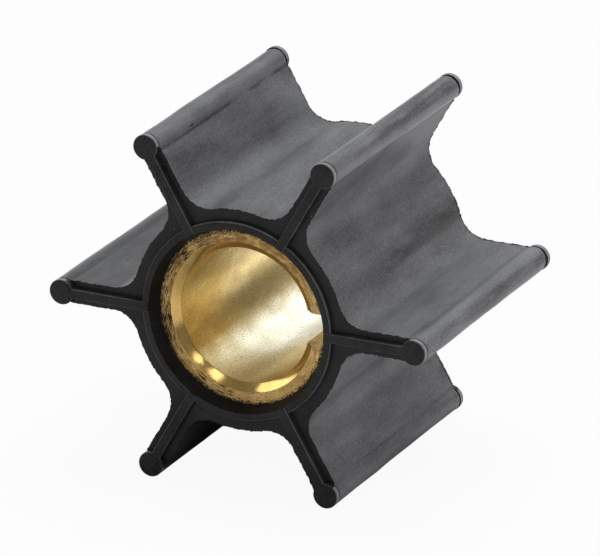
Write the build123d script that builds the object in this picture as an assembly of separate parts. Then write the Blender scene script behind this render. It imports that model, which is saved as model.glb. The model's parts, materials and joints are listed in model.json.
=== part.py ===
from build123d import *
from math import hypot, sqrt
import os

# Flexible impeller of a marine water pump: a rubber hub with six vanes, moulded round a keyed brass bush.
# The shaft axis is Y, one vane points along +X, and the origin is on the axis at mid-length. Sizes are in mm.

# Brass bush
bore_diameter = 20.0
bush_wall = 3.5
bush_length = 36.9
chamfer_width = 1.15        # growth in radius at both ends of the bore
chamfer_depth = 1.0
key_width = 4.8
key_floor = 0.95            # brass left behind the key slot

# Rubber hub and vanes
hub_wall = 2.8              # rubber round the bush
vane_count = 6
vane_thickness = 3.2
vane_reach = 11.1           # from the hub's surface to the centre of the tip bulb
bulb_proud = 0.25           # how far the bulb stands out from the sides of its vane
bulb_blend = 0.35           # hollow between the bulb and the vane
root_fillet = 4.2

# Raised sealing bead on both ends of the rubber
bead_height = 1.0           # discs on the bulbs and ribs along the vanes
rib_width = 1.35
ring_height = 0.8
ring_width = 1.0            # at the rib tops, from the mouth outwards
ring_edge_radius = 0.3

# Tapered mouth in each end of the rubber, in front of the bush
mouth_depth = 2.15          # from the rib tops down to the bush
mouth_flare = 0.85          # growth in radius from the bush to the rib tops
lip_overlap = 0.65          # rubber that laps over the end of the bush

bore_radius = bore_diameter / 2
bush_radius = bore_radius + bush_wall
key_floor_radius = bush_radius - key_floor
hub_radius = bush_radius + hub_wall
tip_circle_radius = hub_radius + vane_reach
bulb_radius = vane_thickness / 2 + bulb_proud
neck_inset = sqrt(bulb_radius**2 - (vane_thickness / 2) ** 2)
neck_radius = hypot(tip_circle_radius - neck_inset, vane_thickness / 2)     # where a bulb meets its vane
seat_radius = bush_radius - lip_overlap
mouth_radius = seat_radius + mouth_flare
ring_radius = mouth_radius + ring_width
half_bush = bush_length / 2
half_length = half_bush + mouth_depth
half_flank = half_length - bead_height      # end faces of the vanes and the hub


def each_vane(shape):
    """Copies of a sketch drawn along +X, one on every vane."""
    return [place * shape for place in PolarLocations(0, vane_count)]


def strip(start, end, width):
    """Straight sketch along +X."""
    return Pos((start + end) / 2, 0) * Rectangle(end - start, width)


def corners_at(sketch, radius):
    """Corners of a sketch that lie at one distance from the shaft."""
    return sketch.vertices().filter_by(lambda v: abs(Vector(v).length - radius) < vane_thickness / 100)


def flank_profile():
    """Hub, vanes and bulbs seen along the shaft, filleted at the roots and blended at the bulbs' necks."""
    vane = strip(0, tip_circle_radius, vane_thickness)
    star = Circle(hub_radius) + each_vane(vane)
    star = fillet(corners_at(star, hub_radius), root_fillet)
    star += each_vane(Pos(tip_circle_radius, 0) * Circle(bulb_radius))
    return fillet(corners_at(star, neck_radius), bulb_blend)


def end_bead():
    """Raised bead on one end of the moulding, drawn upwards from the end face."""
    line = strip(seat_radius, tip_circle_radius, rib_width) + Pos(tip_circle_radius, 0) * Circle(bulb_radius)
    ring = extrude(Circle(ring_radius), amount=ring_height)
    ring = fillet(ring.edges().group_by(Axis.Z)[-1], ring_edge_radius)
    return ring + extrude(Sketch() + each_vane(line), amount=bead_height)


def core():
    """Room that the bush and the two tapered mouths take out of the rubber."""
    section = Polyline(
        (0, -half_length),
        (mouth_radius, -half_length),
        (seat_radius, -half_bush),
        (bush_radius, -half_bush),
        (bush_radius, half_bush),
        (seat_radius, half_bush),
        (mouth_radius, half_length),
        (0, half_length),
        close=True,
    )
    return revolve(make_face(section), Axis.Y)


def make_rubber_body():
    """Hub and vanes with the bead on both ends, opened for the bush."""
    flanks = extrude(Plane.XZ * flank_profile(), amount=half_flank, both=True)
    near_end = Plane((0, -half_flank, 0), x_dir=(1, 0, 0), z_dir=(0, -1, 0)) * end_bead()
    far_end = mirror(near_end, about=Plane.XZ)
    return flanks + near_end + far_end - core()


def make_brass_bush():
    """Turned bush with both ends of its bore chamfered and a key slot on the +X side."""
    section = Polyline(
        (bore_radius, half_bush - chamfer_depth),
        (bore_radius + chamfer_width, half_bush),
        (bush_radius, half_bush),
        (bush_radius, -half_bush),
        (bore_radius + chamfer_width, -half_bush),
        (bore_radius, chamfer_depth - half_bush),
        close=True,
    )
    slot = Plane.XZ * strip(0, key_floor_radius, key_width)
    return revolve(make_face(section), Axis.Y) - extrude(slot, amount=half_bush, both=True)


os.makedirs("parts", exist_ok=True)
export_step(make_rubber_body(), "parts/rubber_body.step")
export_step(make_brass_bush(), "parts/brass_bush.step")
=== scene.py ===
import json
import math

import bmesh
import bpy
from mathutils import Matrix, Vector, noise


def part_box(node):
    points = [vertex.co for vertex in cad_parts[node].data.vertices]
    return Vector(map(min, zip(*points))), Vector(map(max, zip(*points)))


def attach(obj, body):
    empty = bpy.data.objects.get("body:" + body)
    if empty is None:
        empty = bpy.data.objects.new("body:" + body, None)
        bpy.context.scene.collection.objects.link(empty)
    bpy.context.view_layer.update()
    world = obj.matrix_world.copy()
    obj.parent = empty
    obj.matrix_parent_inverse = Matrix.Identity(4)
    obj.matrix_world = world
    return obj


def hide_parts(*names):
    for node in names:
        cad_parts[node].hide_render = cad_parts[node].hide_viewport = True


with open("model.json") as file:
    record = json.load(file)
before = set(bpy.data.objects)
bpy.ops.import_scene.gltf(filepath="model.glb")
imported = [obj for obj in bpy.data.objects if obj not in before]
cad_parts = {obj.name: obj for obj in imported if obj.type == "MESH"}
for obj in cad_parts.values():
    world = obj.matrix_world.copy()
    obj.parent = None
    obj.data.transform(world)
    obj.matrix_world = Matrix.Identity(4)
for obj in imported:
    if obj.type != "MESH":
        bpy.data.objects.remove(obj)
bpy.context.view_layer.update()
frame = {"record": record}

# Brass bush
# A sleeve turned from brass bar, chamfered at both mouths, with a key slot broached along its bore.
# The rubber is moulded round it and bonded to it, so only the bore, the chamfers and the end faces show.
MM = 0.001
bush_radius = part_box("brass_bush")[1].x
bush_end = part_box("brass_bush")[1].y
bore_radius = frame["record"]["mounts"][0]["dims"]["r_mm"] * MM
chamfer_width = 1.15 * MM
chamfer_depth = 1.0 * MM
key_half_width = 2.4 * MM
key_floor = 12.55 * MM
turned_edge = 0.12 * MM
bore_steps = 320
slot_steps = 6


def rounded(points, radius, steps=3):
    """A 2-D line with an arc at each of its inner corners."""
    line = [Vector(points[0])]
    for before, corner, after in zip(points, points[1:], points[2:]):
        corner = Vector(corner)
        back = (Vector(before) - corner).normalized()
        ahead = (Vector(after) - corner).normalized()
        half = back.angle(ahead) / 2
        centre = corner + (back + ahead).normalized() * radius / math.sin(half)
        start = corner + back * radius / math.tan(half) - centre
        end = corner + ahead * radius / math.tan(half) - centre
        line += [centre + start.slerp(end, i / steps) * radius for i in range(steps + 1)]
    return line + [Vector(points[-1])]


def add_loft(bm, loops, ring=False):
    """Skins closed loops of equally many points, capped at both ends or closed into a ring."""
    rows = [[bm.verts.new(point) for point in loop] for loop in loops]
    pairs = list(zip(rows, rows[1:]))
    if ring:
        pairs.append((rows[-1], rows[0]))
    else:
        bm.faces.new(rows[0])
        bm.faces.new(rows[-1])
    for low, high in pairs:
        for i in range(len(low)):
            j = (i + 1) % len(low)
            bm.faces.new((low[i], low[j], high[j], high[i]))


def make_piece(name, bm):
    """A mesh object from a finished bmesh, with every face turned outwards."""
    bmesh.ops.recalc_face_normals(bm, faces=bm.faces)
    mesh = bpy.data.meshes.new(name)
    bm.to_mesh(mesh)
    bm.free()
    piece = bpy.data.objects.new(name, mesh)
    bpy.context.collection.objects.link(piece)
    return piece


def smooth(piece, crease_degrees):
    """Smooth shading, with edges sharper than the crease kept crisp."""
    piece.data.polygons.foreach_set("use_smooth", [True] * len(piece.data.polygons))
    piece.data.set_sharp_from_angle(angle=math.radians(crease_degrees))


def slotted_loop(radius, y):
    """Once round the bore at y: half the slot's floor, a wall, the bore, the other wall, half the floor."""
    corner = math.asin(key_half_width / radius)
    mouth = radius * math.cos(corner)
    floor = [(key_floor, key_half_width * i / slot_steps) for i in range(slot_steps)]
    wall = [(key_floor + (mouth - key_floor) * i / slot_steps, key_half_width) for i in range(slot_steps)]
    turn = 2 * (math.pi - corner)
    arc = [corner + turn * i / bore_steps for i in range(bore_steps + 1)]
    bore = [(radius * math.cos(a), radius * math.sin(a)) for a in arc]
    back = [(x, -z) for x, z in reversed(floor[1:] + wall)]
    return [Vector((x, y, z)) for x, z in floor + wall + bore + back]


def outer_loop(inner, radius, y):
    """A circle whose points lie at the same angles as those of an inner loop."""
    angles = [math.atan2(point.z, point.x) for point in inner]
    return [Vector((radius * math.cos(a), y, radius * math.sin(a))) for a in angles]


bore_end = bush_end - chamfer_depth
mouth_line = rounded(
    [
        (bore_radius, 0),
        (bore_radius, bore_end),
        (bore_radius + chamfer_width, bush_end),
        (bush_radius - turned_edge, bush_end),
    ],
    turned_edge,
)[1:-1]
bore_line = [(r, -y) for r, y in reversed(mouth_line)] + [(r, y) for r, y in mouth_line]
bore_loops = [slotted_loop(r, y) for r, y in bore_line]
bush_loops = [outer_loop(bore_loops[0], bush_radius, -bush_end)] + bore_loops
bush_loops.append(outer_loop(bore_loops[-1], bush_radius, bush_end))

bm = bmesh.new()
add_loft(bm, bush_loops, ring=True)
bush = make_piece("brass_bush_turned", bm)
smooth(bush, crease_degrees=25)


def srgb(red, green, blue):
    """A colour given as it looks on a screen, 0 to 255, as Blender's linear colour."""
    shares = [part / 255 for part in (red, green, blue)]
    return [((s + 0.055) / 1.055) ** 2.4 if s > 0.04 else s / 12.92 for s in shares] + [1]


def new_group(name, inputs, outputs):
    """An empty shader node group with its named sockets, and its input and output nodes."""
    group = bpy.data.node_groups.new(name, "ShaderNodeTree")
    for socket, kind, default in inputs:
        made = group.interface.new_socket(socket, in_out="INPUT", socket_type=kind)
        made.default_value = default
    for socket, kind in outputs:
        group.interface.new_socket(socket, in_out="OUTPUT", socket_type=kind)
    return group, group.nodes.new("NodeGroupInput"), group.nodes.new("NodeGroupOutput")


def add_node(tree, kind, values=None, **settings):
    """A shader node with its settings made and its unlinked inputs filled."""
    node = tree.nodes.new("ShaderNode" + kind)
    for name, value in settings.items():
        setattr(node, name, value)
    for name, value in (values or {}).items():
        node.inputs[name].default_value = value
    return node


def fill_inputs(tree, inputs, values):
    """Gives each input its value: a socket is linked, anything else is set."""
    for socket, value in zip(inputs, values):
        if isinstance(value, bpy.types.NodeSocket):
            tree.links.new(value, socket)
        else:
            socket.default_value = value


def add_math(tree, operation, *values):
    """A maths node on sockets or plain numbers; returns its output."""
    node = add_node(tree, "Math", operation=operation)
    fill_inputs(tree, node.inputs, values)
    return node.outputs[0]


def add_product(tree, *values):
    """Sockets or plain numbers multiplied together; returns the output."""
    total = values[0]
    for value in values[1:]:
        total = add_math(tree, "MULTIPLY", total, value)
    return total


def add_ramp(tree, source, low, high):
    """Spreads the part of a value between low and high softly over 0 to 1; returns its output."""
    node = add_node(tree, "MapRange", {"From Min": low, "From Max": high}, interpolation_type="SMOOTHSTEP")
    tree.links.new(source, node.inputs["Value"])
    return node.outputs["Result"]


def add_slope(tree, source, low, high, first, last):
    """Spreads the part of a value between low and high evenly over first to last; returns its output."""
    node = add_node(tree, "MapRange", {"From Min": low, "From Max": high, "To Min": first, "To Max": last})
    tree.links.new(source, node.inputs["Value"])
    return node.outputs["Result"]


def add_mix(tree, share, first, second):
    """A colour mix; each colour is a socket or a linear colour. Returns its output."""
    node = add_node(tree, "Mix", data_type="RGBA")
    fill_inputs(tree, (node.inputs[0], node.inputs[6], node.inputs[7]), (share, first, second))
    return node.outputs[2]


def add_place(tree):
    """Where a point lies on the piece, in metres; returns the output."""
    return add_node(tree, "TexCoord").outputs["Object"]


def add_parts(tree, place):
    """A place split into its X, Y and Z outputs."""
    node = add_node(tree, "SeparateXYZ")
    tree.links.new(place, node.inputs[0])
    return node.outputs


def add_shaft_distance(tree, parts):
    """Distance of a place from the axis of the shaft; returns its output."""
    flat = add_node(tree, "CombineXYZ")
    tree.links.new(parts["X"], flat.inputs["X"])
    tree.links.new(parts["Z"], flat.inputs["Y"])
    node = add_node(tree, "VectorMath", operation="LENGTH")
    tree.links.new(flat.outputs[0], node.inputs[0])
    return node.outputs["Value"]


def add_reach(tree, place, side):
    """How far a place lies towards one side of the shaft; returns its output."""
    node = add_node(tree, "VectorMath", operation="DOT_PRODUCT")
    fill_inputs(tree, node.inputs, (place, side))
    return node.outputs["Value"]


def add_noise(tree, size, detail=3.0, stretch=(1, 1, 1)):
    """Noise over the piece with blotches of about one size in metres, drawn out along the stretched axes."""
    shape = add_node(tree, "Mapping", {"Scale": [1 / size / s for s in stretch]})
    tree.links.new(add_place(tree), shape.inputs["Vector"])
    node = add_node(tree, "TexNoise", {"Scale": 1.0, "Detail": detail, "Roughness": 0.55})
    tree.links.new(shape.outputs["Vector"], node.inputs["Vector"])
    return node.outputs["Fac"]


def add_specks(tree, spacing, size):
    """A scatter of small spots, 1 inside a spot: most cells of the scatter stay empty."""
    node = add_node(tree, "TexVoronoi", {"Scale": 1 / spacing})
    tree.links.new(add_place(tree), node.inputs["Vector"])
    pick = add_node(tree, "SeparateColor")
    tree.links.new(node.outputs["Color"], pick.inputs[0])
    reach = add_product(tree, add_ramp(tree, pick.outputs[0], 0.35, 1.0), size / spacing)
    return add_math(tree, "LESS_THAN", node.outputs["Distance"], reach)


def new_material(name):
    """An empty node material; returns it, its tree and its Principled shader."""
    material = bpy.data.materials.new(name)
    material.use_nodes = True
    tree = material.node_tree
    return material, tree, tree.nodes["Principled BSDF"]


def add_bump(tree, shader, height, depth):
    """Relief of a given depth in metres from a height between 0 and 1."""
    bump = add_node(tree, "Bump", {"Strength": 1.0, "Distance": depth})
    tree.links.new(height, bump.inputs["Height"])
    tree.links.new(bump.outputs["Normal"], shader.inputs["Normal"])


def make_brass_tone():
    """Clean and tarnished brass in soft clouds with a fine mottle, and small dark specks."""
    inputs = [
        ("Clean", "NodeSocketColor", (1, 1, 1, 1)),
        ("Tarnished", "NodeSocketColor", (0, 0, 0, 1)),
        ("Specks", "NodeSocketFloat", 0.5),
    ]
    outputs = [("Color", "NodeSocketColor"), ("Cloud", "NodeSocketFloat"), ("Grain", "NodeSocketFloat")]
    group, given, made = new_group("Brass tone", inputs, outputs)
    grain = add_noise(group, 0.16 * MM, 3.0)
    cloud = add_math(group, "MULTIPLY_ADD", grain, 0.9, add_noise(group, 2.2 * MM, 4.0, (1, 2, 1)))
    cloud = add_ramp(group, cloud, 0.60, 1.30)
    colour = add_mix(group, cloud, given.outputs["Clean"], given.outputs["Tarnished"])
    pits = add_product(group, add_ramp(group, add_noise(group, 0.19 * MM, 1.0), 0.54, 0.74), 0.7)
    spots = add_math(group, "MAXIMUM", pits, add_specks(group, 0.75 * MM, 0.09 * MM))
    spots = add_product(group, spots, given.outputs["Specks"])
    colour = add_mix(group, spots, colour, srgb(88, 64, 34))
    group.links.new(colour, made.inputs["Color"])
    group.links.new(cloud, made.inputs["Cloud"])
    group.links.new(grain, made.inputs["Grain"])
    return group


brass_tone = make_brass_tone()


def make_brass(name, clean, tarnished, specks, metallic, roughness, grain_depth):
    """Brass of one surface finish; returns the material, its tree, its shader and its tone node."""
    material, tree, shader = new_material(name)
    shades = {"Clean": clean, "Tarnished": tarnished, "Specks": specks}
    tone = add_node(tree, "Group", shades, node_tree=brass_tone)
    tree.links.new(tone.outputs["Color"], shader.inputs["Base Color"])
    gloss = add_slope(tree, tone.outputs["Cloud"], 0.0, 1.0, *roughness)
    tree.links.new(gloss, shader.inputs["Roughness"])
    shader.inputs["Metallic"].default_value = metallic
    add_bump(tree, shader, tone.outputs["Grain"], grain_depth)
    return material, tree, shader, tone


# Painted reflection: paler brass in a strip along the bottom of the bore and at its far top.
reflection_strip_side = (-0.242, 0, -0.970)
reflection_strip_clean = srgb(250, 246, 228)
reflection_strip_tarnished = srgb(230, 220, 188)


def run_in_bore(tree, shader, tone):
    """Turning marks, which draw the bore's gloss out along the shaft, and a painted reflection: paler brass
    along the bottom and at the far top, which brightens what the bore mirrors there.
    """
    place = add_place(tree)
    parts = add_parts(tree, place)
    uneven = add_math(tree, "MULTIPLY_ADD", add_noise(tree, 1.2 * MM, 5.0, (1, 3, 1)), 0.16, -0.08)
    to_reflection_strip = add_reach(tree, place, reflection_strip_side)
    across = add_math(tree, "MULTIPLY_ADD", to_reflection_strip, 1 / bore_radius, uneven)
    along_bottom = add_ramp(tree, across, 0.78, 0.97)
    far_end = add_ramp(tree, parts["Y"], 0.4 * bush_end, 0.6 * bush_end)
    high_up = add_ramp(tree, parts["Z"], 0.76 * bore_radius, 0.90 * bore_radius)
    # Painted reflection: the pale strip along the bottom and the pale far top.
    rubbed = add_math(tree, "MAXIMUM", along_bottom, add_product(tree, far_end, high_up))
    for shade, pale in (("Clean", reflection_strip_clean), ("Tarnished", reflection_strip_tarnished)):
        usual = list(tone.inputs[shade].default_value)
        tree.links.new(add_mix(tree, rubbed, usual, pale), tone.inputs[shade])
    round_bore = add_node(tree, "Tangent", direction_type="RADIAL", axis="Y")
    tree.links.new(round_bore.outputs["Tangent"], shader.inputs["Tangent"])
    shader.inputs["Anisotropic"].default_value = 0.25
    shader.inputs["Anisotropic Rotation"].default_value = 0.25


satin = make_brass(
    "Brass satin bore",
    clean=srgb(234, 212, 146),
    tarnished=srgb(201, 170, 103),
    specks=0.9,
    metallic=0.90,
    roughness=(0.26, 0.33),
    grain_depth=0.014 * MM,
)
run_in_bore(*satin[1:])
bright = make_brass(
    "Brass bright chamfer",
    clean=srgb(228, 192, 118),
    tarnished=srgb(200, 160, 88),
    specks=0.35,
    metallic=0.80,
    roughness=(0.10, 0.18),
    grain_depth=0.004 * MM,
)

patina_colour = srgb(104, 76, 44)
patina_width = 0.45 * MM
dash_width = 0.09 * MM
dash_stretch = 20.0
scraped_side = (-0.98, 0, -0.17)
smear_colour = srgb(26, 22, 18)
smear_width = 0.18 * MM
smear_stretch = 4.0
smear_start = 11.9 * MM
face_metallic = 0.9


def add_turned_noise(tree, width, stretch, detail, roughness):
    """Noise on an end face, with marks of one width in metres drawn out round the shaft by a stretch."""
    parts = add_parts(tree, add_place(tree))
    across = add_product(tree, parts["X"], -1.0)
    angle = add_math(tree, "ARCTAN2", add_product(tree, parts["Z"], -1.0), across)
    unrolled = add_node(tree, "CombineXYZ")
    way = add_product(tree, angle, bush_radius / stretch)
    fill_inputs(tree, unrolled.inputs, (way, add_shaft_distance(tree, parts), parts["Y"]))
    node = add_node(tree, "TexNoise", {"Scale": 1 / width, "Detail": detail, "Roughness": roughness})
    tree.links.new(unrolled.outputs[0], node.inputs["Vector"])
    return node.outputs["Fac"]


def soil_with_rubber(tree, shader, tone):
    """Dirt on the turned end face: brown patina, black dashes in the turning marks and a ragged black rim."""
    place = add_place(tree)
    parts = add_parts(tree, place)
    stain = add_turned_noise(tree, patina_width, smear_stretch, 5.0, 0.65)
    blotches = add_math(tree, "MULTIPLY_ADD", parts["Z"], 0.10 / bush_radius, stain)
    patina = add_product(tree, add_ramp(tree, blotches, 0.45, 0.65), 0.70)
    colour = add_mix(tree, patina, tone.outputs["Color"], patina_colour)
    dash = add_turned_noise(tree, dash_width, dash_stretch, 1.0, 0.5)
    gathered = add_math(tree, "MULTIPLY_ADD", add_noise(tree, 3.2 * MM, 2.0), 0.5, dash)
    to_scraped = add_reach(tree, place, scraped_side)
    scraped = add_slope(tree, to_scraped, -0.2 * bush_radius, bush_radius, 0.0, 0.21)
    dashes = add_ramp(tree, add_math(tree, "ADD", gathered, scraped), 0.95, 0.98)
    smear = add_turned_noise(tree, smear_width, smear_stretch, 4.0, 0.65)
    outer = add_slope(tree, add_shaft_distance(tree, parts), smear_start, bush_radius, 0.0, 0.50)
    flecked = add_math(tree, "MULTIPLY_ADD", add_noise(tree, 0.22 * MM, 2.0), 0.6, outer)
    rim = add_ramp(tree, add_math(tree, "MULTIPLY_ADD", smear, 0.6, flecked), 0.76, 0.90)
    darkening = add_math(tree, "MAXIMUM", rim, dashes)
    tree.links.new(add_mix(tree, darkening, colour, smear_colour), shader.inputs["Base Color"])
    clean = add_math(tree, "SUBTRACT", 1.0, darkening)
    tree.links.new(add_product(tree, clean, face_metallic), shader.inputs["Metallic"])
    shader.inputs["Specular IOR Level"].default_value = 0.1


blasted = make_brass(
    "Brass blasted face",
    clean=srgb(214, 180, 117),
    tarnished=srgb(160, 127, 75),
    specks=0.8,
    metallic=face_metallic,
    roughness=(0.36, 0.50),
    grain_depth=0.030 * MM,
)
soil_with_rubber(*blasted[1:])

# Dark brown for dirt in the slot and for painted shade in its corners.
slot_dirt_and_shade_colour = srgb(84, 58, 26)
slot_soil = 4.0 * MM
corner_shade_reach = 1.1 * MM
broach_mark_width = 0.11 * MM
broach_mark_stretch = (1, 150, 1)


def drag_broach(tree, shader, tone):
    """Marks that the broach left along the key slot, dirt towards its ends, and painted shade in its inner
    corners.
    """
    parts = add_parts(tree, add_place(tree))
    dragged = add_noise(tree, broach_mark_width, 2.0, broach_mark_stretch)
    marks = add_product(tree, add_ramp(tree, dragged, 0.42, 0.70), 0.24)
    at_mouth = add_ramp(tree, add_math(tree, "ABSOLUTE", parts["Y"]), bush_end - slot_soil, bush_end)
    patchy = add_ramp(tree, add_noise(tree, 0.5 * MM, 4.0, (1, 3, 1)), 0.35, 0.65)
    darkening = add_math(tree, "MAXIMUM", marks, add_product(tree, at_mouth, patchy, 0.8))
    # Painted shade: the slot darkens into its inner corners.
    from_floor = add_math(tree, "SUBTRACT", key_floor, parts["X"])
    from_wall = add_math(tree, "SUBTRACT", key_half_width, add_math(tree, "ABSOLUTE", parts["Z"]))
    in_corner = add_ramp(tree, add_math(tree, "MAXIMUM", from_floor, from_wall), corner_shade_reach, 0.0)
    darkening = add_math(tree, "MAXIMUM", darkening, add_product(tree, in_corner, 0.9))
    tree.links.new(add_mix(tree, darkening, tone.outputs["Color"], slot_dirt_and_shade_colour), shader.inputs["Base Color"])


broached = make_brass(
    "Brass broached slot",
    clean=srgb(232, 204, 136),
    tarnished=srgb(206, 170, 100),
    specks=0.7,
    metallic=0.70,
    roughness=(0.26, 0.40),
    grain_depth=0.012 * MM,
)
drag_broach(*broached[1:])


chamfer_slope = 0.3
end_face_slope = 0.92
slot_margin = 1.01


def bush_finish(face):
    """The finish of one face of the bush: its slope tells wall, chamfer and end face, its place the slot."""
    slope = abs(face.normal.y)
    if slope >= end_face_slope:
        return blasted
    if slope >= chamfer_slope:
        return bright
    in_slot = face.center.x > 0 and abs(face.center.z) < slot_margin * key_half_width
    return broached if in_slot else satin


def dress(piece, finishes, finish_of):
    """Gives a piece its materials, and each of its faces the finish that a function picks."""
    piece.data.materials.clear()
    for finish in finishes:
        piece.data.materials.append(finish[0])
    for face in piece.data.polygons:
        face.material_index = finishes.index(finish_of(face))


dress(bush, [satin, bright, blasted, broached], bush_finish)
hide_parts("brass_bush")
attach(bush, "root")

# Rubber body
# One moulding in black rubber: a hub, six vanes with a round bulb along each tip, and a raised sealing bead
# on both ends. The mould parts at the end faces, which leaves a trimmed, ragged flash along their outline.
vane_count = 6
vane_half_thickness = 1.6 * MM
bulb_radius = 1.85 * MM
bulb_blend = 0.35 * MM
root_fillet = 4.2 * MM
hub_radius = 16.3 * MM
tip_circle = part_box("rubber_body")[1].x - bulb_radius
body_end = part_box("rubber_body")[1].y
bead_height = 1.0 * MM
flank_end = body_end - bead_height
point_spacing = 0.14 * MM


def arc_points(centre, radius, start, end):
    """Points along an arc, both ends included, about one spacing apart."""
    steps = max(2, round(abs(end - start) * radius / point_spacing))
    turns = [start + (end - start) * i / steps for i in range(steps + 1)]
    return [Vector((centre[0] + radius * math.cos(a), centre[1] + radius * math.sin(a))) for a in turns]


def line_points(start, end):
    """Points along a straight line, without its two ends, about one spacing apart."""
    start, end = Vector(start), Vector(end)
    steps = max(2, round((end - start).length / point_spacing))
    return [start.lerp(end, i / steps) for i in range(1, steps)]


def vane_side():
    """Half of one vane's outline, on its +Z side, from the tip of the bulb to midway along the hub."""
    root_rise = vane_half_thickness + root_fillet
    root_turn = math.asin(root_rise / (hub_radius + root_fillet))
    root_x = (hub_radius + root_fillet) * math.cos(root_turn)
    blend_rise = vane_half_thickness + bulb_blend
    blend_turn = math.asin(blend_rise / (bulb_radius + bulb_blend))
    blend_x = tip_circle - (bulb_radius + bulb_blend) * math.cos(blend_turn)
    bulb = arc_points((tip_circle, 0), bulb_radius, 0, math.pi - blend_turn)
    blend = arc_points((blend_x, blend_rise), bulb_blend, -blend_turn, -math.pi / 2)
    flank = line_points((blend_x, vane_half_thickness), (root_x, vane_half_thickness))
    root = arc_points((root_x, root_rise), root_fillet, -math.pi / 2, root_turn - math.pi)
    hub = arc_points((0, 0), hub_radius, root_turn, math.pi / vane_count)
    return bulb + blend[1:] + flank + root + hub[1:]


upper_side = vane_side()
lower_side = [Vector((p.x, -p.y)) for p in reversed(upper_side)]
one_vane = lower_side[1:-1] + upper_side
outline = []
for vane in range(vane_count):
    turn = Matrix.Rotation(2 * math.pi * vane / vane_count, 2)
    outline += [turn @ p for p in one_vane]


def outward(points):
    """The outward direction at each point of a closed outline drawn anticlockwise."""
    ahead = points[1:] + points[:1]
    behind = points[-1:] + points[:-1]
    along = [(b - a).normalized() for a, b in zip(behind, ahead)]
    return [Vector((d.y, -d.x)) for d in along]


outline_out = outward(outline)
flash_reach = 0.20 * MM
flash_thickness = 0.10 * MM
flash_left = 0.45
flash_more_below = 0.35
flash_patches = ((0.3, 0.3),)
flash_tears = ((0.65, 1.4), (0.55, 3.9))
parting_groove = 0.17 * MM
ripple_depth = 0.06 * MM
ripples = ((1.0, 0.16), (0.5, 0.45))
bulb_margin = 1.02
crease_depth = 0.07 * MM
crease_offset = 0.22 * MM
crease_share = 0.6
crease_patches = ((1.0, 0.3),)
crest_wear = 0.20 * MM
wear_midway = 0.4
wear_far_gain = 0.45
wear_patches = ((0.6, 0.11),)


def uneven_at(spot, waves):
    """An uneven amount at a spot, summed over waves of noise that are given as strength and pitch."""
    return sum(strength * noise.noise(spot * pitch) for strength, pitch in waves)


def spot_in_mm(point, y):
    """An outline point at one station along the shaft, in millimetres."""
    return Vector((point.x, y, point.y)) / MM


def tip_distance(point):
    """Distance of an outline point from the centre of the nearest bulb."""
    vane = round(math.atan2(point.y, point.x) / (2 * math.pi / vane_count))
    turn = 2 * math.pi * vane / vane_count
    return (point - Vector((math.cos(turn), math.sin(turn))) * tip_circle).length


def on_bulb(point):
    """Whether an outline point belongs to a bulb, where a disc covers the parting line."""
    return tip_distance(point) < bulb_radius * bulb_margin


def in_crease(point):
    """1 in the middle of the hollow between a bulb and its vane, falling to 0 on both sides."""
    return max(0.0, 1.0 - abs(tip_distance(point) - bulb_radius - crease_offset) / crease_offset)


def flash(point, end):
    """How far the ragged flash stands out at an outline point on one end; more is left on the lower side."""
    spot = spot_in_mm(point, end)
    left_over = flash_left - flash_more_below * point.y / tip_circle + uneven_at(spot, flash_patches)
    return flash_reach * max(0.0, left_over + uneven_at(spot, flash_tears))


def worn_away(point, out, y):
    """How far the pump's housing has rubbed down the crest of a bulb at one station; more at the far end."""
    crest = max(0.0, out.dot(point.normalized())) ** 2
    share = wear_midway + wear_far_gain * y / flank_end + uneven_at(spot_in_mm(point, y), wear_patches)
    return crest_wear * crest * min(1.0, max(0.0, share))


def flank_loop(y, to_end):
    """The outline at one station along the shaft; to_end is its distance from the nearer end face."""
    loop = []
    end = math.copysign(1, y)
    for point, out in zip(outline, outline_out):
        spot = spot_in_mm(point, y)
        groove = in_crease(point) * (crease_share + uneven_at(spot, crease_patches))
        proud = (ripple_depth * uneven_at(spot, ripples) - crease_depth * groove) * min(1.0, to_end / MM)
        if on_bulb(point):
            proud -= max(0.0, parting_groove - to_end) + worn_away(point, out, y)
        elif to_end <= flash_thickness:
            proud += flash(point, end)
        place = point + out * proud
        loop.append(Vector((place.x, y, place.y)))
    return loop


near_end = [0, flash_thickness, 1.8 * flash_thickness, 0.45 * MM, 1.0 * MM, 2.0 * MM]
inner_rows = 16
inner_span = flank_end - near_end[-1]
inner_to_end = 3 * MM
stations = [(-flank_end + d, d) for d in near_end]
stations += [(inner_span * (2 * i / inner_rows - 1), inner_to_end) for i in range(1, inner_rows)]
stations += [(flank_end - d, d) for d in reversed(near_end)]
bm = bmesh.new()
add_loft(bm, [flank_loop(y, to_end) for y, to_end in stations])
body = make_piece("rubber_body_moulded", bm)

ring_height = 0.8 * MM
ring_radius = 14.7 * MM
ring_edge = 0.3 * MM
rib_half_width = 0.675 * MM
rib_draft = 0.06 * MM
bead_edge = 0.16 * MM
bead_root = 0.4 * MM
disc_steps = 72
ring_steps = 288


def turned_loops(line, steps, centre=(0, 0)):
    """Circles about the shaft, or about a centre beside it, one for each radius and station of a line."""
    turns = [2 * math.pi * i / steps for i in range(steps)]
    return [
        [Vector((centre[0] + r * math.cos(a), y, centre[1] + r * math.sin(a))) for a in turns]
        for r, y in line
    ]


def disc_line():
    """Section of the disc on a bulb: a foot inside the bulb, the parting groove, the side and a soft rim."""
    side = [(bulb_radius, parting_groove), (bulb_radius, bead_height), (bulb_radius / 2, bead_height)]
    foot = bulb_radius - parting_groove - crest_wear
    return [(foot, -bead_root), (foot, 0.2 * parting_groove)] + rounded(side, bead_edge)


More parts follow.
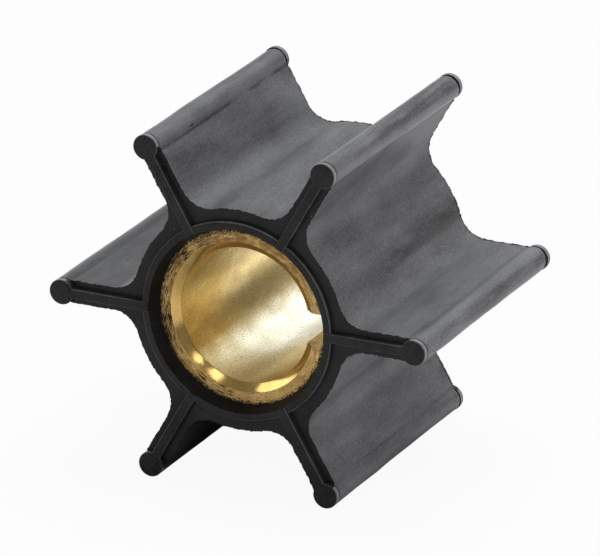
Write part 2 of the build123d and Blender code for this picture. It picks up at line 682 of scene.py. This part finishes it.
def rib_loop(along):
    """Section across a rib at a distance from the shaft: side, bank to bank, and height."""
    foot = rib_half_width + rib_draft
    across = rounded([(foot, -bead_root), (rib_half_width, bead_height), (0, bead_height)], bead_edge)
    whole = across[:-1] + [Vector((-p.x, p.y)) for p in reversed(across[:-1])]
    return [(along, height, side) for side, height in whole]


def ring_line():
    """Section of the ring round the mouth, before the mouth is cut."""
    side = [(ring_radius, -bead_root), (ring_radius, ring_height), (0.5 * ring_radius, ring_height)]
    return rounded(side, ring_edge)


def bead_part(loops, end, turn=0.0):
    """One solid part of the raised bead, drawn on +X, turned to its vane, its root sunk in the end face."""
    spin = Matrix.Rotation(-turn, 3, "Y")
    bm = bmesh.new()
    add_loft(bm, [[spin @ Vector((x, end * (flank_end + h), z)) for x, h, z in loop] for loop in loops])
    return make_piece("bead_part", bm)


seat_radius = 12.85 * MM
mouth_radius = 13.7 * MM
lip_rise = 0.35 * MM
lip_flare = 0.12 * MM
core_flare = 0.2 * MM
film_reach = 0.16 * MM
film_thickness = 0.05 * MM
film_creep = ((0.6, 5.0), (0.16, 22.0), (0.10, 60.0))
lifted_lip = 0.42 * MM
lifted_at = math.radians(122)
lifted_spread = math.radians(16)
bond = 0.02 * MM


def film_edge(turn, end):
    """How far the thin rubber film creeps over the bush's end face at one angle; below 0 it has lifted."""
    spot = Vector((math.cos(turn), end * 0.3, math.sin(turn)))
    lift = lifted_lip * math.exp(-((turn - lifted_at) / lifted_spread) ** 2)
    return film_reach * uneven_at(spot, film_creep) - lift


def core_loops():
    """What the bush and the two tapered mouths take out of the rubber, with a ragged film at the brass."""
    half = [
        (bush_radius - bond, bush_end - bond, 0),
        (seat_radius, bush_end - bond, 1),
        (seat_radius, bush_end + film_thickness, 1),
        (seat_radius + lip_flare, bush_end + lip_rise, 0),
        (mouth_radius, body_end, 0),
        (mouth_radius + core_flare, body_end + bead_root, 0),
    ]
    line = [(r, -y, ragged) for r, y, ragged in reversed(half)] + half
    turns = [2 * math.pi * i / (2 * ring_steps) for i in range(2 * ring_steps)]
    loops = []
    for r, y, ragged in line:
        radii = [r - ragged * film_edge(a, math.copysign(1, y)) for a in turns]
        loops.append([Vector((q * math.cos(a), y, q * math.sin(a))) for q, a in zip(radii, turns)])
    return loops


def combine(piece, tool, operation):
    """Joins a tool to a piece or cuts it away, and removes the tool."""
    change = piece.modifiers.new(operation.lower(), "BOOLEAN")
    change.operation = operation
    change.solver = "MANIFOLD"
    change.object = tool
    made = piece.evaluated_get(bpy.context.evaluated_depsgraph_get())
    mesh = bpy.data.meshes.new_from_object(made)
    piece.modifiers.clear()
    piece.data = mesh
    bpy.data.objects.remove(tool)


disc_loops = turned_loops(disc_line(), disc_steps, (tip_circle, 0))
rib_loops = [rib_loop(0.5 * ring_radius), rib_loop(tip_circle - 0.4 * bulb_radius)]
for end in (-1, 1):
    combine(body, bead_part(turned_loops(ring_line(), ring_steps), end), "UNION")
    for vane in range(vane_count):
        turn = 2 * math.pi * vane / vane_count
        combine(body, bead_part(disc_loops, end, turn), "UNION")
        combine(body, bead_part(rib_loops, end, turn), "UNION")
bm = bmesh.new()
add_loft(bm, core_loops())
combine(body, make_piece("core", bm), "DIFFERENCE")
smooth(body, crease_degrees=32)


def make_bloom():
    """Pale bloom on moulded rubber: streaks drawn out along the shaft, clouds, and fine grain."""
    inputs = [
        ("Dark", "NodeSocketColor", (0, 0, 0, 1)),
        ("Pale", "NodeSocketColor", (1, 1, 1, 1)),
        ("Streaks", "NodeSocketFloat", 1.0),
        ("Bare and painted shading", "NodeSocketFloat", 0.0),
    ]
    outputs = [("Color", "NodeSocketColor"), ("Cloud", "NodeSocketFloat"), ("Grain", "NodeSocketFloat")]
    group, given, made = new_group("Rubber bloom", inputs, outputs)
    broad = add_noise(group, 4.0 * MM, 3.0, (1, 10, 1))
    narrow = add_noise(group, 0.9 * MM, 3.0, (1, 16, 1))
    streak = add_math(group, "SUBTRACT", add_math(group, "MULTIPLY_ADD", narrow, 0.6, broad), 0.8)
    cloud = add_math(group, "SUBTRACT", add_noise(group, 4.5 * MM, 3.0, (1, 2.5, 1)), 0.5)
    mottle = add_math(group, "SUBTRACT", add_noise(group, 0.7 * MM, 3.0), 0.5)
    grain = add_noise(group, 0.18 * MM, 2.0)
    whole = add_math(group, "MULTIPLY_ADD", streak, given.outputs["Streaks"], 0.5)
    whole = add_math(group, "MULTIPLY_ADD", cloud, 0.95, whole)
    whole = add_math(group, "MULTIPLY_ADD", mottle, 0.2, whole)
    whole = add_math(group, "ADD", whole, add_math(group, "MULTIPLY_ADD", grain, 1.4, -0.7))
    # Less bloom where the rubber is worn and where shade is painted, more where light is painted.
    whole = add_math(group, "MULTIPLY_ADD", given.outputs["Bare and painted shading"], -0.5, whole)
    spread = add_ramp(group, whole, -0.20, 1.20)
    colour = add_mix(group, spread, given.outputs["Dark"], given.outputs["Pale"])
    group.links.new(colour, made.inputs["Color"])
    group.links.new(spread, made.inputs["Cloud"])
    group.links.new(grain, made.inputs["Grain"])
    return group


rubber_bloom = make_bloom()
dust_colour = srgb(170, 172, 174)
dust_spacing = 2.4 * MM
dust_size = 0.12 * MM


def make_rubber(name, dark, pale, streaks, specular, roughness, grain_depth):
    """Black rubber as one face of the mould left it; returns the material, its tree, its shader and bloom."""
    material, tree, shader = new_material(name)
    shades = {"Dark": dark, "Pale": pale, "Streaks": streaks}
    bloom = add_node(tree, "Group", shades, node_tree=rubber_bloom)
    dust = add_product(tree, add_specks(tree, dust_spacing, dust_size), 0.35)
    tree.links.new(add_mix(tree, dust, bloom.outputs["Color"], dust_colour), shader.inputs["Base Color"])
    gloss = add_slope(tree, bloom.outputs["Cloud"], 0.0, 1.0, *roughness)
    tree.links.new(gloss, shader.inputs["Roughness"])
    shader.inputs["Specular IOR Level"].default_value = specular
    add_bump(tree, shader, bloom.outputs["Grain"], grain_depth)
    return material, tree, shader, bloom


crease_radius = tip_circle - 0.68 * bulb_radius
crease_width = 0.40 * MM
nick_place = (-11.86 * MM, -9.9 * MM, 23.82 * MM)
nick_width = 0.30 * MM
nick_stretch = 5.0
# Black for a nick and for painted shade in the lower pocket.
nick_and_shade_black = srgb(20, 19, 19)


def crest_wear_and_painted_bulb_light(tree, parts, to_axis, bulb, far_end):
    """Bulbs: bloom rubbed off the crests in streaks, more at the far end, and painted light: more bloom on
    the upper bulbs.
    """
    crest = add_ramp(tree, to_axis, tip_circle + 0.45 * bulb_radius, tip_circle + 0.95 * bulb_radius)
    streaky = add_ramp(tree, add_noise(tree, 1.1 * MM, 3.0, (1, 14, 1)), 0.32, 0.66)
    rubbed = add_product(tree, streaky, far_end)
    # Painted light: more bloom on the upper bulbs, so they are paler.
    paler = add_product(tree, bulb, add_ramp(tree, parts["Z"], -6 * MM, 3 * MM))
    return add_math(tree, "MULTIPLY_ADD", paler, -0.25, add_product(tree, crest, rubbed))


def painted_crease_shade(tree, parts, to_axis):
    """Creases beside the bulbs: patchy painted shade, more of it on the left."""
    # Painted shade: bloom thinned along the crease beside each bulb.
    from_crease = add_math(tree, "ABSOLUTE", add_math(tree, "SUBTRACT", to_axis, crease_radius))
    crease = add_ramp(tree, from_crease, crease_width, 0.15 * crease_width)
    patchy = add_ramp(tree, add_noise(tree, 3.0 * MM, 2.0, (1, 3, 1)), 0.30, 0.55)
    darker_on_left = add_slope(tree, parts["X"], 6 * MM, -6 * MM, 0.3, 1.0)
    return add_product(tree, crease, patchy, darker_on_left)


def painted_hollow_shade(tree, parts):
    """Painted shade in the hollow above the foot of the right vane, made with less bloom."""
    above_foot = add_ramp(tree, parts["Z"], 3.6 * MM, 5.0 * MM)
    below_hub = add_ramp(tree, parts["Z"], 8.6 * MM, 5.6 * MM)
    far_half = add_ramp(tree, parts["Y"], -0.5 * flank_end, 0.1 * flank_end)
    on_right = add_ramp(tree, parts["X"], 0.7 * hub_radius, 0.9 * hub_radius)
    patchy = add_ramp(tree, add_noise(tree, 2.5 * MM, 3.0, (1, 4, 1)), 0.15, 0.55)
    return add_product(tree, above_foot, below_hub, far_half, on_right, patchy)


def painted_vane_light_and_shade(tree, parts):
    """Painted light on top of the right vane, with a little more bloom, and painted shade on the left vane,
    with less.
    """
    # The top of the right vane is painted lighter and the left vane painted darker.
    on_right = add_ramp(tree, parts["X"], 0.95 * hub_radius, 1.1 * hub_radius)
    right_vane = add_product(tree, on_right, add_ramp(tree, parts["Z"], 0, 1 * MM))
    left_vane = add_ramp(tree, add_product(tree, parts["X"], -1.0), hub_radius, 1.15 * hub_radius)
    return add_math(tree, "MULTIPLY_ADD", right_vane, -0.18, add_product(tree, left_vane, 0.8))


def nick_and_painted_pocket_shade(tree, place, parts):
    """Black, with no bloom: painted shade in the pocket between the two lower vanes, and a ragged nick under
    one bulb.
    """
    aside = add_math(tree, "ABSOLUTE", parts["X"])
    lower = add_product(tree, parts["Z"], -math.tan(math.pi / vane_count))
    # Painted shade: the pocket between the two lower vanes turns almost black.
    pocket = add_ramp(tree, add_math(tree, "SUBTRACT", lower, aside), -0.3 * MM, 0.5 * MM)
    shrunk = add_node(tree, "Mapping", {"Scale": (1, 1 / nick_stretch, 1)})
    tree.links.new(place, shrunk.inputs["Vector"])
    from_nick = add_node(tree, "VectorMath", operation="DISTANCE")
    nick_centre = (nick_place[0], nick_place[1] / nick_stretch, nick_place[2])
    fill_inputs(tree, from_nick.inputs, (shrunk.outputs["Vector"], nick_centre))
    torn = add_noise(tree, 0.25 * MM, 2.0)
    ragged = add_math(tree, "MULTIPLY_ADD", torn, nick_width, from_nick.outputs["Value"])
    nick = add_ramp(tree, ragged, 1.1 * nick_width, 0.8 * nick_width)
    return add_math(tree, "MAXIMUM", add_product(tree, pocket, 0.85), nick)


def wear_and_painted_shading_on_flank(tree, shader, bloom):
    """The flanks as they wore in the pump, bloom thin or gone in places and the bulbs polished, and painted
    light and shade in the bloom and in black.
    """
    place = add_place(tree)
    parts = add_parts(tree, place)
    to_axis = add_shaft_distance(tree, parts)
    bulb = add_ramp(tree, to_axis, tip_circle - 0.5 * bulb_radius, tip_circle)
    far_end = add_slope(tree, parts["Y"], -flank_end, flank_end, 0.3, 1.0)
    bare_and_painted_shading = crest_wear_and_painted_bulb_light(tree, parts, to_axis, bulb, far_end)
    bare_and_painted_shading = add_math(tree, "ADD", bare_and_painted_shading, painted_crease_shade(tree, parts, to_axis))
    bare_and_painted_shading = add_math(tree, "ADD", bare_and_painted_shading, painted_vane_light_and_shade(tree, parts))
    bare_and_painted_shading = add_math(tree, "ADD", bare_and_painted_shading, painted_hollow_shade(tree, parts))
    tree.links.new(bare_and_painted_shading, bloom.inputs["Bare and painted shading"])
    dull = shader.inputs["Roughness"].links[0].from_socket
    polished = add_math(tree, "MULTIPLY_ADD", add_product(tree, bulb, far_end), -0.16, dull)
    tree.links.new(polished, shader.inputs["Roughness"])
    bloomed = shader.inputs["Base Color"].links[0].from_socket
    colour = add_mix(tree, nick_and_painted_pocket_shade(tree, place, parts), bloomed, nick_and_shade_black)
    tree.links.new(colour, shader.inputs["Base Color"])


flank = make_rubber(
    "Rubber moulded flank",
    dark=srgb(49, 49, 50),
    pale=srgb(140, 140, 143),
    streaks=0.3,
    specular=0.28,
    roughness=(0.42, 0.54),
    grain_depth=0.022 * MM,
)
wear_and_painted_shading_on_flank(*flank[1:])
end_face = make_rubber(
    "Rubber end face",
    dark=srgb(8, 7, 7),
    pale=srgb(60, 58, 58),
    streaks=0.15,
    specular=0.18,
    roughness=(0.36, 0.50),
    grain_depth=0.035 * MM,
)
# Painted highlight: paler rubber on the rounded edges of the bead.
highlit_bead_edge = make_rubber(
    "Rubber bead edge with painted highlight",
    dark=srgb(30, 29, 29),
    pale=srgb(116, 115, 116),
    streaks=0.3,
    specular=0.25,
    roughness=(0.40, 0.55),
    grain_depth=0.030 * MM,
)
mouth_wall = make_rubber(
    "Rubber mouth wall",
    dark=srgb(6, 5, 5),
    pale=srgb(46, 44, 44),
    streaks=0.15,
    specular=0.14,
    roughness=(0.40, 0.55),
    grain_depth=0.030 * MM,
)
disc_rim = make_rubber(
    "Rubber disc rim",
    dark=srgb(84, 84, 85),
    pale=srgb(176, 176, 178),
    streaks=0.2,
    specular=0.28,
    roughness=(0.42, 0.54),
    grain_depth=0.022 * MM,
)


def body_finish(face):
    """The finish of one face of the rubber, by its slope, its distance from the shaft and its station."""
    place = Vector((face.center.x, face.center.z))
    slope = abs(face.normal.y)
    beyond = abs(face.center.y) - flank_end
    if place.length < mouth_radius and slope < 0.9:
        return mouth_wall
    # Rounded bead edges take the painted highlight.
    if 0.2 < slope < 0.95 and beyond > 0.4 * bead_height and place.length > 1.01 * mouth_radius:
        return highlit_bead_edge
    if on_bulb(place * 0.995) and slope < 0.5 and place.length > hub_radius:
        return disc_rim if beyond > 0 else flank
    return end_face if beyond > -1.2 * flash_thickness else flank


dress(body, [flank, end_face, highlit_bead_edge, mouth_wall, disc_rim], body_finish)
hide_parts("rubber_body")
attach(body, "root")

# Studio
# A pale floor under the two lower vanes, clear when seen from below, and soft lamps and cards all round, some
# of which light only the brass. The surround is white behind the object, and dim in front, on the right and
# near the horizon, where the room is dark.
floor_z = min(corner.co.z for corner in body.data.vertices)
floor_half_width = 6.0
white_share = 0.94
far_white = 0.40
shade_width = 60 * MM
fade_start = 120 * MM
fade_end = 350 * MM


def add_mirrored(tree, seen):
    """1 for rays that come off metal or through glass; returns its output."""
    return add_math(tree, "MAXIMUM", seen["Is Glossy Ray"], seen["Is Transmission Ray"])


def add_cover(tree, share, under, over):
    """One shader laid over another by a share; returns its output."""
    node = add_node(tree, "MixShader")
    fill_inputs(tree, node.inputs, (share, under, over))
    return node.outputs[0]


bm = bmesh.new()
bmesh.ops.create_grid(bm, x_segments=1, y_segments=1, size=floor_half_width)
floor = make_piece("floor", bm)
floor.location.z = floor_z
material, tree, shader = new_material("Pale floor")
shader.inputs["Base Color"].default_value = srgb(236, 236, 236)
shader.inputs["Roughness"].default_value = 0.9
seen = add_node(tree, "LightPath").outputs
parts = add_parts(tree, add_place(tree))
past_side = add_math(tree, "SUBTRACT", add_math(tree, "ABSOLUTE", parts["X"]), tip_circle / 2)
past_end = add_math(tree, "SUBTRACT", add_math(tree, "ABSOLUTE", parts["Y"]), body_end)
past = add_math(tree, "MAXIMUM", past_side, past_end)
near_white = add_slope(tree, past, fade_start, fade_end, 1.0, far_white)
# Metal mirrors the plain lit floor close to the object, a painted shadow over the shade width, then white,
# which fades far off.
in_open = add_product(tree, add_ramp(tree, past, 0.0, shade_width), near_white)
mirrored = add_product(tree, add_mirrored(tree, seen), in_open)
looked_at = add_math(tree, "MAXIMUM", seen["Is Camera Ray"], mirrored)
white = add_node(tree, "Emission", {"Color": (1, 1, 1, 1), "Strength": 1.0}).outputs[0]
from_above = add_cover(tree, add_product(tree, looked_at, white_share), shader.outputs[0], white)
below = add_node(tree, "NewGeometry").outputs["Backfacing"]
clear = add_node(tree, "BsdfTransparent").outputs[0]
one_way = add_cover(tree, below, from_above, clear)
tree.links.new(one_way, tree.nodes["Material Output"].inputs["Surface"])
floor.data.materials.append(material)

surround_light = 0.32
dim_side = 0.18
dim_horizon = 0.45
world = bpy.data.worlds.new("Studio surround")
bpy.context.scene.world = world
world.use_nodes = True
tree = world.node_tree
background = tree.nodes["Background"]
background.inputs["Color"].default_value = (1, 1, 1, 1)
seen = add_node(tree, "LightPath").outputs
parts = add_parts(tree, add_node(tree, "TexCoord").outputs["Generated"])
behind = add_slope(tree, parts["Y"], -0.4, 0.5, dim_side, 1.0)
aside = add_slope(tree, parts["X"], 0.25, 0.50, 1.0, dim_side)
rising = add_slope(tree, parts["Z"], 0.15, 0.40, dim_horizon, 1.0)
panel = add_math(tree, "MINIMUM", add_math(tree, "MINIMUM", behind, aside), rising)
share = add_node(tree, "MapRange", {"To Min": surround_light})
tree.links.new(add_mirrored(tree, seen), share.inputs["Value"])
tree.links.new(panel, share.inputs["To Max"])
level = add_math(tree, "MAXIMUM", share.outputs["Result"], seen["Is Camera Ray"])
tree.links.new(level, background.inputs["Strength"])

brass_only = bpy.data.collections.new("Brass only")
brass_only.objects.link(bush)
lamp_distance = 0.70
plain = (1, 1, 1)
cool = (0.92, 0.96, 1.0)
sky = (0.86, 0.92, 1.0)


def add_lamp(
    name, direction, size, brightness, tint, lights_rubber=True, distance=lamp_distance, facing=None
):
    """A soft rectangular lamp, faced to the object or as told, as bright as a mirror would show it."""
    lamp = bpy.data.lights.new(name, "AREA")
    lamp.color = tint
    lamp.shape = "RECTANGLE"
    lamp.size, lamp.size_y = size
    lamp.energy = 4 * brightness * size[0] * size[1]
    holder = bpy.data.objects.new(name, lamp)
    towards = Vector(direction).normalized()
    holder.location = towards * distance
    holder.rotation_mode = "QUATERNION"
    holder.rotation_quaternion = Vector(facing or -towards).to_track_quat("-Z", "Y")
    holder.visible_camera = False
    if not lights_rubber:
        holder.light_linking.receiver_collection = brass_only
    bpy.context.collection.objects.link(holder)


add_lamp("Overhead lamp", (0.0, 0.35, 1.0), (0.50, 0.50), 2.7, cool)
add_lamp("Back lamp", (0.02, 0.88, 0.47), (0.46, 0.36), 0.65, sky, lights_rubber=False)
add_lamp(
    "Floor card",
    (0.0846, 0.9619, -0.260),
    (0.05, 0.042),
    2.3,
    sky,
    lights_rubber=False,
    distance=0.0946,
    facing=(0, 0, 1),
)
add_lamp("Left lamp", (-0.88, -0.24, 0.42), (0.44, 0.44), 1.75, plain, lights_rubber=False)
add_lamp("Back left lamp", (-0.80, 0.55, 0.25), (0.40, 0.30), 2.2, cool)
add_lamp("Right lamp", (0.95, 0.22, 0.16), (0.40, 0.30), 2.3, plain)
add_lamp("Front right lamp", (0.48, -0.666, 0.571), (0.13, 0.13), 2.0, plain)
add_lamp("Front card", (0.0, -0.93, 0.36), (0.55, 0.35), 0.9, plain, lights_rubber=False)
add_lamp("Front lamp", (0.117, -0.62, 0.773), (0.17, 0.17), 2.0, plain)

# Camera
# The photograph's long lens, in front of one end of the impeller, to its right and above it.
# Its distance and aim are multiples of the radius to the centres of the bulbs.
photo_width = 600
view_azimuth = 26.70
view_elevation = 21.11
view_roll = -0.58
focal_pixels = 7809.6
camera_distance = 39.588 * tip_circle
aim_right = 0.3299 * tip_circle
aim_up = 0.2261 * tip_circle
turn = math.radians(view_azimuth)
rise = math.radians(view_elevation)
back = Vector((math.sin(turn) * math.cos(rise), -math.cos(turn) * math.cos(rise), math.sin(rise)))
right = Matrix.Rotation(math.radians(view_roll), 3, back) @ Vector((math.cos(turn), math.sin(turn), 0))
up = back.cross(right)
camera_data = bpy.data.cameras.new("Photo camera")
camera_data.sensor_width = 36.0
camera_data.lens = focal_pixels / photo_width * camera_data.sensor_width
camera_data.clip_start = 0.1
camera_data.clip_end = 20.0
camera = bpy.data.objects.new("Photo camera", camera_data)
front_plane = Vector((0, -body_end, 0))
spot = front_plane + right * aim_right + up * aim_up + back * camera_distance
camera.matrix_world = Matrix.Translation(spot) @ Matrix((right, up, back)).transposed().to_4x4()
bpy.context.collection.objects.link(camera)
bpy.context.scene.camera = camera
bpy.context.scene.view_settings.view_transform = "Standard"
